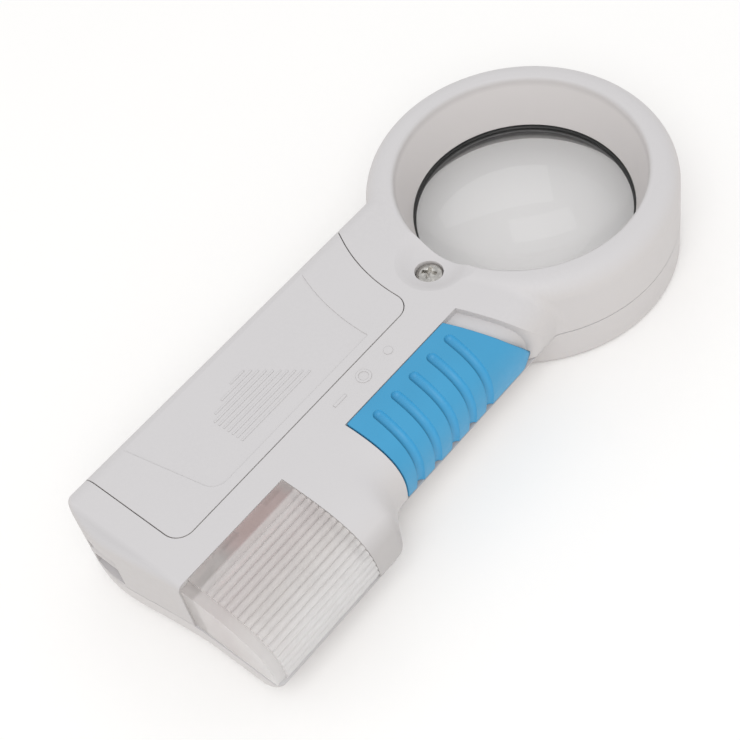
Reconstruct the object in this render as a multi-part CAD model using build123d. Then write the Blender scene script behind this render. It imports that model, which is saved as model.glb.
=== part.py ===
from build123d import *
import os
import math

os.makedirs("parts", exist_ok=True)

# Hand-held illuminated reading magnifier for low vision.
# Working frame while modelling: lens axis is Z, underside is Z = 0, the handle
# runs toward -Y and the thumb slider is on the +X side.  Everything is moved by
# Y_SHIFT at the end so that the origin is the centre of the footprint.

# ---------------- driving dimensions (mm) ----------------
HEAD_R = 31.0            # outer radius of the lens head
RIM_TOP = 22.8           # crest of the rim round the lens
TOP = 22.4               # flat top of the handle
PART_Z = 8.8             # height of the joint between the two shells
GAP = 0.09               # half of the hairline between the shells
WALL = 1.8               # shell wall
APERTURE_R = 22.35       # lower edge of the bore, just above the lens ring
LIP_R = 21.85            # clear aperture inside the lens ring
RIM_R = 25.2             # inner edge of the rim at the top
LENS_R = 24.0
LENS_EDGE = 2.2
LENS_BULGE = 2.8
LENS_Z0 = 7.8            # underside of the lens edge
GASKET_Z0 = 6.2          # ledge under the lens gasket
X_LEFT = -22.0           # straight left side of the handle
X_NECK = 23.3            # right side of the handle under the thumb
X_BLOCK = 29.6           # right side of the lamp block at the tail
TAIL_Y = -107.3
DOOR_X = 3.2             # right edge of the battery door
DOOR_R = 37.5            # head side edge of the door, concentric with the lens
DOOR_TAIL = -100.9
DOOR_GAP = 0.19          # gap all round the door
SLIDE_X = 10.95          # left edge of the thumb slider
SLIDE_TAIL = -65.1
SLIDE_TRAVEL = 3.7
SLIDE_WALL = 1.2
RECESS = 1.4             # depth of the slider's recess
WIN_X = 9.2              # left edge of the tail lamp window
WIN_Y = -80.7            # head side edge of the tail lamp window
CELL_R = 7.2
CELL_L = 49.5
CELL_Z = 11.2
CELL_XL = -12.8
CELL_XR = 1.9
SW_X = 16.0              # switch centre line
SW_Y = -51.5             # lever position with the slider at the tail end


# ---------------- helpers ----------------
def V(x, y, z=0.0):
    return Vector(x, y, z)


def section(y, xr, k=0.0, off=0.0):
    """Cross-section of the handle as a face in the plane Y = y.
    k runs from 0 at the neck to 1 at the lamp block, off is an inward offset."""
    xl = X_LEFT + off
    top = TOP - off
    bot = off
    rl = max(4.0 - off, 1.2)
    rb = max(2.0 - off, 0.6)
    x0 = 9.5
    c2x = 19.5 + 2.2 * k
    c1x = (25.0 + 4.7 * k) - off
    c1z = 20.0 + 0.2 * k - 0.75 * off
    c2x = c2x - 0.35 * off
    p3 = (xr - off, 9.4)
    b0 = (9.0 + 5.0 * k, bot)
    d1 = (xr - 0.3 - off, 6.6 + 0.1 * off)
    d2 = (xr - 6.2 - 0.4 * off, bot)

    def P(p):
        return Vector(p[0], y, p[1])
    a = 0.70710678
    edges = [
        Edge.make_bezier(P((x0, top)), P((c2x, top)), P((c1x, c1z)), P(p3)),
        Edge.make_bezier(P(p3), P(d1), P(d2), P(b0)),
        Edge.make_line(P(b0), P((xl + rb, bot))),
        Edge.make_three_point_arc(P((xl + rb, bot)), P((xl + rb * (1 - a), bot + rb * (1 - a))), P((xl, bot + rb))),
        Edge.make_line(P((xl, bot + rb)), P((xl, top - rl))),
        Edge.make_three_point_arc(P((xl, top - rl)), P((xl + rl * (1 - a), top - rl * (1 - a))), P((xl + rl, top))),
        Edge.make_line(P((xl + rl, top)), P((x0, top))),
    ]
    return Face(Wire(edges))


def push(face, dist):
    return Solid.extrude(face, Vector(0, -dist, 0))


def neck(y0, y1, off=0.0):
    return push(section(y0, X_NECK, 0.0, off), y0 - y1)


def block(y0, y1, off=0.0):
    return push(section(y0, X_BLOCK, 1.0, off), y0 - y1)


def box(x0, x1, y0, y1, z0, z1):
    return Solid.make_box(x1 - x0, y1 - y0, z1 - z0, Plane(origin=(x0, y0, z0)))


def cyl(x, y, z0, z1, r):
    return Solid.make_cylinder(r, z1 - z0, Plane(origin=(x, y, z0)))


def prism(pts_edges, z0, z1):
    f = Face(Wire(pts_edges))
    s = Solid.extrude(f, Vector(0, 0, z1 - z0))
    return s.moved(Location((0, 0, z0)))


def revolve_profile(pts):
    """Solid of revolution about Z from a closed polyline in (r, z)."""
    w = Wire.make_polygon([Vector(r, 0, z) for r, z in pts], close=True)
    return Solid.revolve(Face(w), 360.0, Axis.Z)


def revolve_edges(edges):
    return Solid.revolve(Face(Wire(edges)), 360.0, Axis.Z)


def as_part(obj):
    return Part() + obj if not isinstance(obj, Part) else obj


def P_(*objs):
    p = Part()
    for o in objs:
        p = p + o
    return p


# ---------------- outer form ----------------
rim_prof = make_face(Polyline((0, 0), (30.9, 0), (31.0, 9.0), (31.0, RIM_TOP), (0, RIM_TOP), (0, 0)))
v_top = [v for v in rim_prof.vertices() if abs(v.X - 31.0) < 0.01 and abs(v.Y - RIM_TOP) < 0.01]
rim_prof = fillet(v_top, 4.3)
v_bot = [v for v in rim_prof.vertices() if abs(v.X - 30.9) < 0.01 and abs(v.Y) < 0.01]
rim_prof = fillet(v_bot, 1.1)
head = revolve(Plane.XZ * rim_prof, Axis.Z)

# shoulder between the neck and the wider lamp block: S-shaped in plan
stations = [(-66.0, 0.0), (-67.1, 0.012), (-68.2, 0.055), (-69.4, 0.145), (-70.8, 0.34), (-72.2, 0.63), (-73.6, 0.88),
            (-75.0, 0.978), (-76.4, 1.0)]
secs = [section(y, X_NECK + (X_BLOCK - X_NECK) * k, k) for y, k in stations]
shoulder = Solid.make_loft([f.outer_wire() for f in secs], False)

neck_solid = neck(-14.0, -66.0)
block_solid = block(-76.4, -112.0)
handle = P_(neck_solid, shoulder, block_solid)
# the neck's start lies inside the head

# tail end, seen in plan: a low swelling that carries the strap bar
tail_pts = [V(-22.0, -105.4), V(-16.5, -108.0), V(-9.5, -109.3), V(-2.0, -108.7), V(4.5, -107.9), V(11.0, -107.35)]
tail_curve = Edge.make_spline(tail_pts)


def tail_outline(z, inset):
    """Outline of the plan at height z, with the tail end drawn in by inset."""
    m = Location((0, inset, z))
    return Wire([
        tail_curve.moved(m),
        Edge.make_line(V(11.0, -107.35 + inset, z), V(40, -107.2 + inset, z)),
        Edge.make_line(V(40, -107.2 + inset, z), V(40, 40, z)),
        Edge.make_line(V(40, 40, z), V(-40, 40, z)),
        Edge.make_line(V(-40, 40, z), V(-40, -105.4 + inset, z)),
        Edge.make_line(V(-40, -105.4 + inset, z), V(-22.0, -105.4 + inset, z)),
    ])


def round_in(z0, z1, depth, up):
    """Heights and insets of a rounded edge between z0 and z1."""
    out = []
    for i in range(6):
        u = i / 5.0
        ang = u * math.pi / 2
        if up:
            out.append((z0 + (z1 - z0) * math.sin(ang), depth * (1 - math.cos(ang))))
        else:
            out.append((z0 + (z1 - z0) * (1 - math.cos(ang)), depth * (1 - math.sin(ang))))
    return out


low_tail = Solid.make_loft([tail_outline(z, i) for z, i in round_in(-0.5, 7.0, 3.6, False)], False)
mid_tail = Solid.extrude(Face(tail_outline(7.0, 0.0)), Vector(0, 0, 14.2))
top_tail = Solid.make_loft([tail_outline(z, i) for z, i in round_in(21.2, TOP + 0.25, 1.3, True)], False)
handle = P_(handle & low_tail, handle & mid_tail, handle & top_tail)


def try_fillet(part, edges, radii, label):
    for r in radii:
        try:
            q = part.fillet(r, edges)
            if q.is_valid and len(q.solids()) == 1:
                return Part() + q
        except Exception:
            pass
    print("no fillet:", label)
    return part


# round the vertical corners and the underside edge at the tail
vert = [e for e in handle.edges() if abs(e.center().Z - 11) < 8 and e.center().Y < -104
        and abs(e.tangent_at(0.5).Z) > 0.9 and e.center().X < -15]
handle = try_fillet(handle, vert, [1.5, 1.3, 1.2], "tail corner")
body = P_(head) + handle
# soften the meeting of rim and handle
seam = [e for e in body.edges() if -34 < e.center().Y < -14 and 26.0 < math.hypot(e.center().X, e.center().Y) < 31.6
        and e.center().Z > 17.0]
body = try_fillet(body, seam, [2.5, 1.5, 0.8, 0.4], "rim to handle")
print("body", body.is_valid, len(body.solids()), round(body.volume, 1), body.bounding_box())

# ---------------- voids of the shells ----------------
# ring-shaped void of the head
ring_void = revolve_profile([(25.8, WALL), (25.8, 12.6), (27.2, 20.4), (28.2, 20.2), (29.2, 18.4), (29.2, WALL)])
head_core = Solid.make_cylinder(HEAD_R, 60, Plane(origin=(0, 0, -10)))

cavity = P_(neck(-20.0, -105.4, WALL)) + block(-76.6, -105.4, WALL + 0.08)
cavity = cavity - head_core


def recess_plan(x0, shift, tail, z0, z1, grow=0.0):
    """Plan of the slider: a curve toward the head, straight left and tail edges."""
    g = shift + grow
    pts = [V(x0, -33.8 + g), V(14.2, -32.6 + g), V(18.0, -31.1 + g), V(20.6, -29.7 + g), V(22.3, -28.3 + g),
           V(23.2, -26.8 + g), V(23.6, -24.9 + g)]
    far = V(44.0, -24.9 + g)
    return prism([
        Edge.make_line(V(x0, tail), pts[0]),
        Edge.make_spline(pts),
        Edge.make_line(pts[-1], far),
        Edge.make_line(far, V(44.0, tail)),
        Edge.make_line(V(44.0, tail), V(x0, tail)),
    ], z0, z1)


# thicker skin round the slider's recess
recess_keep = recess_plan(9.4, 1.5, -66.9, -5, 40) & neck(-18.0, -70.0)
recess_core = neck(-18.0, -70.0, RECESS + 1.5)
keep = P_(recess_keep) - recess_core
keep = keep & box(-40, 40, -80, 0, PART_Z + GAP, 40)
cavity_top = cavity - keep

# shelves that carry the door at both ends
shelf_head = box(-20.15, 9.0, -39.6, -24.0, 18.8, 40)
shelf_tail = box(-20.15, 9.0, -106.0, -97.4, 18.8, 40)
cavity_top = cavity_top - shelf_head - shelf_tail

# passage from the handle into the ring void for the lamps
passage = P_(box(-14.0, 14.0, -34.0, -24.0, WALL, 16.5)) - cyl(0, 0, -5, 40, 26.2)

# ---------------- screw positions ----------------
HEAD_SCREW = (0.0, -28.7)
SCREW_R = 2.5            # radius of the screw head
SCREW_SEAT = 18.7        # bottom of the counterbore under the screw head
LOW_SCREWS = [(15.5, -73.0), (3.6, -103.0), (-17.0, -33.8)]
BOARD_SCREWS = [(16.4, -39.9), (16.4, -63.4)]

# ---------------- top shell ----------------
upper = box(-60, 60, -130, 60, PART_Z + GAP, 60)
lower = box(-60, 60, -130, 60, -5, PART_Z - GAP)

bore_top = P_(revolve_profile([(0, 0), (24.15, 0), (24.15, 12.0), (APERTURE_R, 12.0), (0, 12.0)]))
EDGE = 0.9               # rounding of the rim's inner edge
rz = RIM_TOP - EDGE
slope = (24.75 - APERTURE_R) / (RIM_TOP - 1.6 - 12.0)
rr = APERTURE_R + slope * (rz - 12.0)
bore_top = bore_top + revolve_edges([
    Edge.make_line(V(0, 0, 12.0), V(APERTURE_R, 0, 12.0)),
    Edge.make_line(V(APERTURE_R, 0, 12.0), V(rr, 0, rz)),
    Edge.make_bezier(V(rr, 0, rz), V(rr + slope * 0.5, 0, rz + 0.5), V(rr + 0.45, 0, RIM_TOP + 0.01), V(rr + EDGE + 0.1, 0, RIM_TOP + 0.01)),
    Edge.make_line(V(rr + EDGE + 0.1, 0, RIM_TOP + 0.01), V(rr + EDGE + 0.1, 0, 30)),
    Edge.make_line(V(rr + EDGE + 0.1, 0, 30), V(0, 0, 30)),
    Edge.make_line(V(0, 0, 30), V(0, 0, 12.0)),
])

top_shell = (body & upper)
top_shell = top_shell - cavity_top - ring_void - passage
# bosses inside the upper shell
hb = P_(cyl(HEAD_SCREW[0], HEAD_SCREW[1], PART_Z + GAP, 21.5, 4.2)) + (
    P_(cyl(0, -27.3, 18.0, 21.6, 7.8)))
for x, y in LOW_SCREWS:
    hb = hb + cyl(x, y, PART_Z + GAP, 21.5, 2.8)
hb = hb & body
top_shell = top_shell + hb
# pad behind the strap pocket
top_shell = top_shell + (P_(box(-15.8, -5.0, -106.5, -102.4, PART_Z + GAP, 21.5)) & body)
top_shell = top_shell - bore_top
# shallow dish round the head screw, with its counterbore and clearance hole
DISH_R, DISH_Z = 7.5, 20.2
dish = revolve_edges([
    Edge.make_bezier(V(0, 0, DISH_Z), V(4.4, 0, DISH_Z), V(5.5, 0, TOP - 0.5), V(DISH_R, 0, TOP + 0.05)),
    Edge.make_line(V(DISH_R, 0, TOP + 0.05), V(DISH_R + 4.0, 0, TOP + 1.25)),
    Edge.make_line(V(DISH_R + 4.0, 0, TOP + 1.25), V(DISH_R + 4.0, 0, 30)),
    Edge.make_line(V(DISH_R + 4.0, 0, 30), V(0, 0, 30)),
    Edge.make_line(V(0, 0, 30), V(0, 0, DISH_Z)),
]).moved(Location((0, -27.3, 0)))
top_shell = top_shell - dish
top_shell = top_shell - cyl(HEAD_SCREW[0], HEAD_SCREW[1], SCREW_SEAT, 30, 2.8) - cyl(HEAD_SCREW[0], HEAD_SCREW[1], 0, 30, 1.6)
for x, y in LOW_SCREWS:
    top_shell = top_shell - cyl(x, y, 0, 14.6, 1.3)


# battery door opening
def door_plan(inset, z0, z1, xl=-60.0):
    r = DOOR_R + inset
    xr = DOOR_X - inset + DOOR_GAP
    yt = DOOR_TAIL - DOOR_GAP + inset
    ya = -math.sqrt(r * r - xr * xr)
    xb = -30.0
    yb = -math.sqrt(r * r - xb * xb)
    am = math.atan2(0.5 * (ya + yb), 0.5 * (xr + xb))
    mid = V(r * math.cos(am), r * math.sin(am))
    pr = prism([
        Edge.make_three_point_arc(V(xb, yb), mid, V(xr, ya)),
        Edge.make_line(V(xr, ya), V(xr, yt)),
        Edge.make_line(V(xr, yt), V(xl, yt)),
        Edge.make_line(V(xl, yt), V(xl, yb)),
        Edge.make_line(V(xl, yb), V(xb, yb)),
    ], z0, z1)
    corners = [e for e in pr.edges() if abs(e.center().X - xr) < 0.01 and abs(e.tangent_at(0.5).Z) > 0.9]
    return P_(pr.fillet(3.6 - inset, corners))


top_shell = top_shell - door_plan(0.0, 20.15, 60)
top_shell = top_shell - (door_plan(0.0, PART_Z - 1, 60) & box(-60, -20.15, -130, 60, PART_Z - 1, 60))

# the opening is clear down the left side between the two shelves
top_shell = top_shell - box(-60, -17.9, -97.4, -39.6, PART_Z - 1, 60)

# slider recess and the slot for the slider's stem
recess_cut = recess_plan(10.75, 0.0, -65.45, PART_Z - 1, 60)
recess_cut = P_(recess_cut) - neck(-18.0, -70.0, RECESS)
top_shell = top_shell - recess_cut
top_shell = top_shell - box(SW_X - 2.3, SW_X + 2.3, SW_Y - 3.4, SW_Y + 3.4 + SLIDE_TRAVEL, 12, 30)

# opening for the tail lamp window
top_shell = top_shell - box(WIN_X - 0.12, 60, -130, WIN_Y + 0.12, PART_Z - 1, 60)

# strap pocket with its bar
pocket = box(-14.2, -6.6, -112, -104.2, 9.9, 17.8)
bar = Solid.make_cylinder(1.5, 7.7, Plane(origin=(-14.25, -107.35, 13.85), z_dir=(1, 0, 0)))
top_shell = top_shell - pocket + bar

# three moulded position marks beside the slider: bar, ring, dot
marks = P_(box(6.3, 6.9, -63.6, -60.4, TOP - 0.2, TOP + 0.12))
ringm = cyl(6.6, -55.4, TOP - 0.2, TOP + 0.12, 1.5) - cyl(6.6, -55.4, TOP - 1, TOP + 1, 1.0)
marks = marks + ringm + cyl(6.6, -48.4, TOP - 0.2, TOP + 0.12, 0.9)
top_shell = top_shell + marks

# ---------------- bottom shell ----------------
bore_low = revolve_profile([(0, -5), (24.9, -5), (24.9, 0.0), (24.5, 0.4), (22.8, 5.4), (22.8, GASKET_Z0), (24.15, GASKET_Z0), (24.15, 20), (0, 20)])
bottom_shell = (body & lower)
bottom_shell = bottom_shell - cavity - ring_void - passage
low_add = P_(cyl(HEAD_SCREW[0], HEAD_SCREW[1], 1.0, PART_Z - GAP, 4.2))
for x, y in LOW_SCREWS:
    low_add = low_add + cyl(x, y, 1.0, PART_Z - GAP, 3.6)
low_add = low_add & body
bottom_shell = bottom_shell + low_add
# battery compartment walls and cradles
wall_parts = [
    box(9.6, 10.6, -98.6, -38.4, 1.0, 17.3),
    box(-20.1, 10.6, -39.4, -38.4, 1.0, 17.3),
    box(-20.1, 10.6, -98.6, -97.4, 1.0, 17.3),
]
for yc in (-50.0, -68.0, -86.0):
    cr = P_(box(-20.3, 9.8, yc - 0.8, yc + 0.8, 1.0, 8.0))
    for xc in (CELL_XL, CELL_XR):
        cr = cr - Solid.make_cylinder(CELL_R + 0.15, 8, Plane(origin=(xc, yc - 4, CELL_Z), z_dir=(0, 1, 0)))
    wall_parts.append(cr)
posts = []
# brackets off the compartment walls: two under the circuit board, two under
# the head lamp board and two under the tail lamp board
for x, y in BOARD_SCREWS:
    posts.append(box(10.4, x + 1.5, y - 1.9, y + 1.9, 7.4, 9.9))
for sx in (-1, 1):
    posts.append(box(min(sx * 9.2, sx * 10.4), max(sx * 9.2, sx * 10.4), -38.6, -34.3, 10.9, 12.2))
for y in (-87.8, -96.8):
    posts.append(box(10.4, 24.0, y - 1.2, y + 1.2, 5.9, 7.4))
for w in wall_parts + posts:
    bottom_shell = bottom_shell + w
bottom_shell = bottom_shell - bore_low
# screw recesses from below
for x, y in LOW_SCREWS:
    bottom_shell = bottom_shell - cyl(x, y, -5, 3.0, 2.9) - cyl(x, y, -5, 20, 1.45)
bottom_shell = bottom_shell - cyl(HEAD_SCREW[0], HEAD_SCREW[1], 3.2, 20, 1.3)
for x, y in BOARD_SCREWS:
    bottom_shell = bottom_shell - cyl(x, y, 6.6, 20, 0.8)
# slots in the compartment's front wall for the contact tabs
bottom_shell = bottom_shell - box(CELL_XL - 1.1, CELL_XL + 1.1, -40, -38, 7.6, 8.5)
bottom_shell = bottom_shell - box(CELL_XR - 1.1, CELL_XR + 1.1, -40, -38, 5.6, 6.5)


# lamp windows in the underside of the head
def lamp_window(sx, grow, z0, z1):
    c = Solid.make_box(8.4 + 2 * grow, 3.0 + 2 * grow, z1 - z0, Plane(origin=(-4.2 - grow, -1.5 - grow, z0)))
    ang = math.degrees(math.atan2(8.6, 26.2))
    return c.rotate(Axis.Z, sx * ang).moved(Location((sx * 8.6, -26.15 - 0.9, 0)))


for sx in (-1, 1):
    bottom_shell = bottom_shell - lamp_window(sx, 0.0, -5, 4) - lamp_window(sx, 0.6, 0.9, 3.0)
# four low feet ribs are left off: the underside is the resting face

# ---------------- lens group ----------------
lens_gasket = P_(cyl(0, 0, GASKET_Z0, LENS_Z0, 24.1)) - cyl(0, 0, 0, 20, 22.7)
zt = LENS_Z0 + LENS_EDGE
half = math.sqrt(((LENS_R ** 2 + LENS_BULGE ** 2) / (2 * LENS_BULGE)) ** 2 - (LENS_R / 2) ** 2) - (LENS_R ** 2 - LENS_BULGE ** 2) / (2 * LENS_BULGE)
lens_prof = Face(Wire([
    Edge.make_line(V(0, 0, LENS_Z0 - LENS_BULGE), V(0, 0, zt + LENS_BULGE)),
    Edge.make_three_point_arc(V(0, 0, zt + LENS_BULGE), V(LENS_R * 0.5, 0, zt + half), V(LENS_R, 0, zt)),
    Edge.make_line(V(LENS_R, 0, zt), V(LENS_R, 0, LENS_Z0)),
    Edge.make_three_point_arc(V(LENS_R, 0, LENS_Z0), V(LENS_R * 0.5, 0, LENS_Z0 - half), V(0, 0, LENS_Z0 - LENS_BULGE)),
]))
lens = P_(Solid.revolve(lens_prof, 360.0, Axis.Z))
# black retaining ring between lens edge and bezel, with a fine step in its wall
ring_r = revolve_profile([(LIP_R, zt + 0.46), (24.1, zt + 0.02), (24.1, 11.95), (APERTURE_R - 0.05, 11.95),
                          (APERTURE_R - 0.05, 11.5), (APERTURE_R - 0.3, 11.35), (APERTURE_R - 0.3, zt + 0.95), (LIP_R, zt + 0.62)])
lens_retaining_ring = P_(ring_r) - lens
lens_gasket = lens_gasket - lens

# ---------------- battery door ----------------
door_blank = door_plan(DOOR_GAP, 9.2, 60) & body
door = door_blank - box(-20.35, 60, -130, 60, 0, 20.2)
door = door + box(-20.4, 2.6, -40.8, -39.75, 17.5, 20.6) + box(-20.4, 2.6, -39.8, -38.75, 17.5, 18.6)
door = door + box(-20.4, 2.6, -97.25, -96.2, 17.5, 20.6) + box(-20.4, 2.6, -98.25, -97.2, 17.5, 18.6)
door = door + box(1.0, 5.4, -58.0, -48.0, 19.0, 20.2) + box(1.0, 5.4, -90.0, -80.0, 19.0, 20.2)
door = door + box(1.0, 3.0, -58.0, -48.0, 19.0, 20.4) + box(1.0, 3.0, -90.0, -80.0, 19.0, 20.4)
# shallow thumb panel and its fine ridges
pr = 47.8
pxr = 1.1
ya = -math.sqrt(pr * pr - pxr * pxr)
yb = -math.sqrt(pr * pr - 30.0 ** 2)
pm = math.atan2(0.5 * (ya + yb), 0.5 * (pxr - 30.0))
panel = prism([
    Edge.make_three_point_arc(V(-30.0, yb), V(pr * math.cos(pm), pr * math.sin(pm)), V(pxr, ya)),
    Edge.make_line(V(pxr, ya), V(pxr, -86.5)),
    Edge.make_three_point_arc(V(pxr, -86.5), V(0.4, -88.4), V(-1.4, -89.6)),
    Edge.make_line(V(-1.4, -89.6), V(-30.0, -94.9)),
    Edge.make_line(V(-30.0, -94.9), V(-30.0, yb)),
], TOP - 0.14, TOP + 2)
door = door - panel
ridges = Part()
for i in range(10):
    x = -12.85 + 1.15 * i
    y1 = -58.3 + 0.68 * x
    y0 = -78.7 + 1.3 * max(0.0, -9.5 - x) ** 1.5
    ridges = ridges + box(x - 0.2, x + 0.2, y0, y1, TOP - 0.4, TOP - 0.06)
door = door + ridges
battery_door = door

# ---------------- thumb slider ----------------
sl_full = neck(-20.0, -68.0)
slider = (P_(recess_plan(SLIDE_X, -4.0, SLIDE_TAIL, 9.3, 60)) & sl_full) - neck(-18.0, -70.0, SLIDE_WALL)
# five round-bottomed grooves over the corner of the slider
top_curve = Edge.make_bezier(V(9.5, 0, TOP), V(19.5, 0, TOP), V(25.0, 0, 20.0), V(X_NECK, 0, 9.4))
groove_y = [-39.9 - 5.08 * i for i in range(5)]
GR_W, GR_D = 1.05, 0.80  # half width and depth of a groove
GR_SLANT = 1.5           # the grooves run this far toward the tail on their way out
gr_r = (GR_W ** 2 + GR_D ** 2) / (2 * GR_D)
gr_up = gr_r - GR_D      # the cutter's axis runs this far above the skin
def lifted(t):
    p = top_curve.position_at(t)
    tg = top_curve.tangent_at(t)
    return V(p.X - tg.Z * gr_up, 0, p.Z + tg.X * gr_up)


g_ts = (0.205, 0.32, 0.44, 0.58, 0.72, 0.86, 1.0)
g_pts = [lifted(t) for t in g_ts]
for gy in groove_y:
    pts = [V(p.X, gy - GR_SLANT * (t - g_ts[0]) / (1 - g_ts[0]), p.Z) for p, t in zip(g_pts, g_ts)]
    pts.append(V(X_NECK - 0.4 + gr_up, gy - GR_SLANT - 0.4, 6.0))
    path = Edge.make_spline(pts)
    prof_pl = Plane(origin=path.position_at(0), z_dir=path.tangent_at(0))
    circ = Face(Wire([Edge.make_circle(gr_r, prof_pl)]))
    tube = Solid.sweep(circ, path)
    slider = slider - tube
    slider = slider - Solid.make_sphere(gr_r, Plane(origin=pts[0]), -90, 90, 360)
# stem with barbs that straddles the switch lever
stem = P_(box(SW_X - 1.9, SW_X + 1.9, SW_Y - 3.0, SW_Y + 3.0, 15.0, 21.4))
stem = stem + box(SW_X - 3.1, SW_X + 1.9, SW_Y - 2.0, SW_Y + 2.0, 15.6, 16.9)
stem = stem - box(SW_X - 1.1, SW_X + 1.1, SW_Y - 1.1, SW_Y + 1.1, 14.0, 18.4)
stem = stem & neck(-18.0, -70.0, SLIDE_WALL - 0.2)
slide_button = slider + stem

# ---------------- slide switch ----------------
switch_lever = P_(box(SW_X - 1.0, SW_X + 1.0, SW_Y - 1.0, SW_Y + 1.0, 13.4, 18.0)) + box(
    SW_X - 1.6, SW_X + 1.6, SW_Y - 1.9, SW_Y + 1.9, 12.4, 13.4)
sc = SW_Y + SLIDE_TRAVEL / 2
sb = P_(box(SW_X - 3.3, SW_X + 3.3, sc - 6.8, sc + 6.8, 11.1, 14.4))
sb = sb - box(SW_X - 2.0, SW_X + 2.0, sc - 4.4, sc + 4.4, 12.2, 13.7)
sb = sb - box(SW_X - 1.2, SW_X + 1.2, sc - 3.3, sc + 3.3, 13.0, 20)
switch_body = sb
st = Part()
for i in range(4):
    st = st + box(SW_X - 0.35, SW_X + 0.35, sc - 4.7 + i * 3.0, sc - 4.3 + i * 3.0, 8.6, 11.1)
switch_terminals = st

# ---------------- circuit board and parts on it ----------------
cb = P_(box(11.1, 19.3, -66.2, -38.0, 9.9, 11.1))
for x, y in BOARD_SCREWS:
    cb = cb - cyl(x, y, 0, 20, 1.1)
for i in range(4):
    cb = cb - box(SW_X - 0.35, SW_X + 0.35, sc - 4.7 + i * 3.0, sc - 4.3 + i * 3.0, 8.6, 12)
circuit_board = cb
rs_ = Part()
for yy in (-58.1, -60.2):
    r1 = P_(Solid.make_cylinder(0.9, 3.6, Plane(origin=(12.6, yy, 12.0), z_dir=(1, 0, 0))))
    r1 = r1 + Solid.make_cylinder(0.25, 5.3, Plane(origin=(11.7, yy, 12.0), z_dir=(1, 0, 0)))
    r1 = r1 + cyl(11.85, yy, 11.1, 12.1, 0.25) + cyl(16.85, yy, 11.1, 12.1, 0.25)
    rs_ = rs_ + r1
current_resistors = rs_
bs = Part()
for x, y in BOARD_SCREWS:
    bs = bs + cyl(x, y, 11.1, 12.3, 1.9) + cyl(x, y, 6.4, 11.1, 0.8)
    bs = bs - box(x - 1.2, x + 1.2, y - 0.2, y + 0.2, 11.8, 13) - box(x - 0.2, x + 0.2, y - 1.2, y + 1.2, 11.8, 13)
board_screws = bs

# ---------------- head lamps ----------------
head_led_board = P_(box(-13.0, 13.0, -37.2, -32.9, 12.2, 13.2))
leds = Part()
led_dir = []
for sx in (-1, 1):
    d = Vector(-sx * 0.12, 0.58, -0.80).normalized()
    base = Vector(sx * 9.6, -31.6, 9.6)
    pl = Plane(origin=base, z_dir=d)
    led = P_(Solid.make_cylinder(1.9, 1.0, pl)) + Solid.make_cylinder(1.5, 3.9, pl)
    led = led + Solid.make_sphere(1.5, Plane(origin=base + d * 3.9, z_dir=d), -90, 90, 360)
    side_v = Vector(1, 0, 0)
    for s in (-1, 1):
        o = base + side_v * (0.65 * s)
        t = (12.2 - o.Z) / 0.80
        L = (12.2 - base.Z) / (-d.Z)
        led = led + (P_(Solid.make_cylinder(0.22, L + 0.6, Plane(origin=o + d * 0.3, z_dir=d * -1))) & box(-60, 60, -60, 60, 0, 12.2))
    leds = leds + led
head_leds = leds
hw = Part()
for sx in (-1, 1):
    w1 = P_(lamp_window(sx, -0.05, 0.25, 1.0)) + lamp_window(sx, 0.55, 0.9, 1.75)
    hw = hw + w1
head_led_windows = hw

# ---------------- tail lamp ----------------
tail_lamp_board = P_(box(12.8, 25.2, -100.4, -85.6, 7.4, 8.4))
TL = [(19.0, -89.4), (19.0, -96.8)]
tl = Part()
for x, y in TL:
    one = P_(cyl(x, y, 8.4, 9.4, 2.9)) + cyl(x, y, 8.4, 14.2, 2.5) + Solid.make_sphere(2.5, Plane(origin=(x, y, 14.2)), -90, 90, 360)
    tl = tl + one
tail_lamp_leds = tl
# white trough round the lamps
rf = P_(box(12.2, 26.2, -103.4, -82.6, 10.2, 11.2))
rf = rf + box(12.2, 13.1, -103.4, -82.6, 10.2, 17.2) + box(25.3, 26.2, -103.4, -82.6, 10.2, 15.2)
rf = rf + box(12.2, 26.2, -83.5, -82.6, 10.2, 15.2) + box(12.2, 26.2, -103.4, -102.5, 10.2, 15.2)
for x, y in TL:
    rf = rf - cyl(x, y, 0, 30, 3.1)
for x, y in ((14.6, -87.6), (23.4, -98.4)):
    rf = rf + cyl(x, y, 8.4, 10.4, 1.2)
tail_lamp_reflector = rf

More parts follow.
